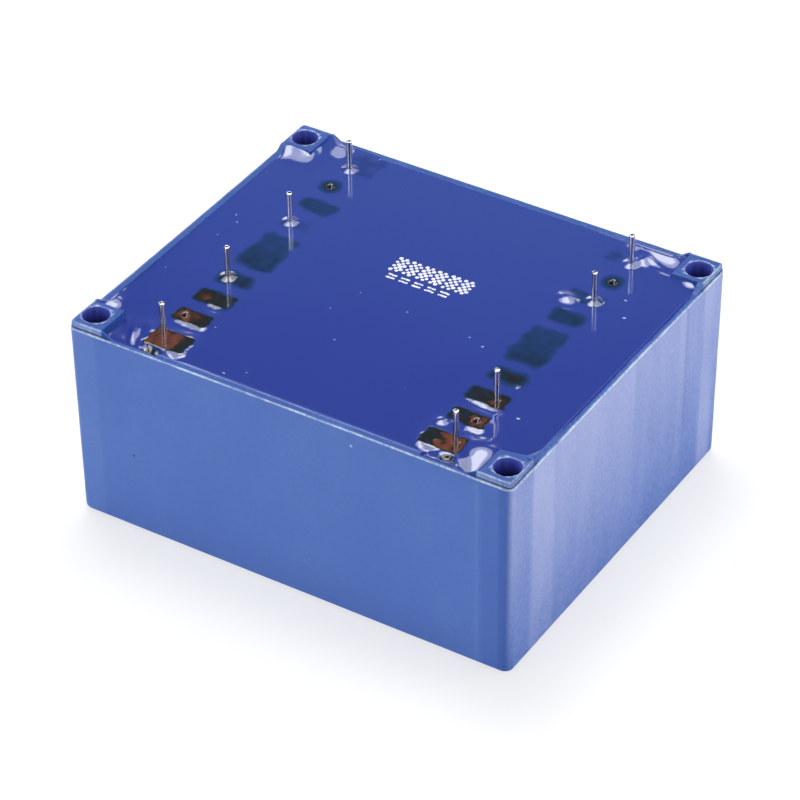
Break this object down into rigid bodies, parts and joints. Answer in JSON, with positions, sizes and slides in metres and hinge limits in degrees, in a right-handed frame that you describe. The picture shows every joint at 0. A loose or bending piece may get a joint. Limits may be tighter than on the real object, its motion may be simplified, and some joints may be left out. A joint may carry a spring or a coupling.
{
  "type": "potted pcb transformer",
  "caption": "Low potted mains transformer for a printed circuit board: moulded blue case filled with resin, solder pins in two rows, seat pads with blind screw holes at the corners.",
  "frame": {"origin": "centre of the closed face that the case rests on", "axes": "+X along the case's length, +Y along its width, +Z towards the pins"},
  "size_m": [0.068, 0.057, 0.0351],
  "materials": {
    "case_plastic": "fine moulded texture, satin",
    "potting_resin": "cast, glossy",
    "former_plastic": "moulded, wetted by resin",
    "tinned_pin": "tinned, drawn"
  },
  "bodies": {
    "root": {"case": "case_plastic", "resin": "potting_resin", "front_left_comb": "former_plastic", "rear_left_comb": "former_plastic", "front_right_comb": "former_plastic", "rear_right_comb": "former_plastic", "left_pin_1": "tinned_pin", "left_pin_2": "tinned_pin", "left_pin_3": "tinned_pin", "left_pin_4": "tinned_pin", "right_pin_1": "tinned_pin", "right_pin_2": "tinned_pin", "right_pin_3": "tinned_pin", "right_pin_4": "tinned_pin"}
  },
  "joints": []
}
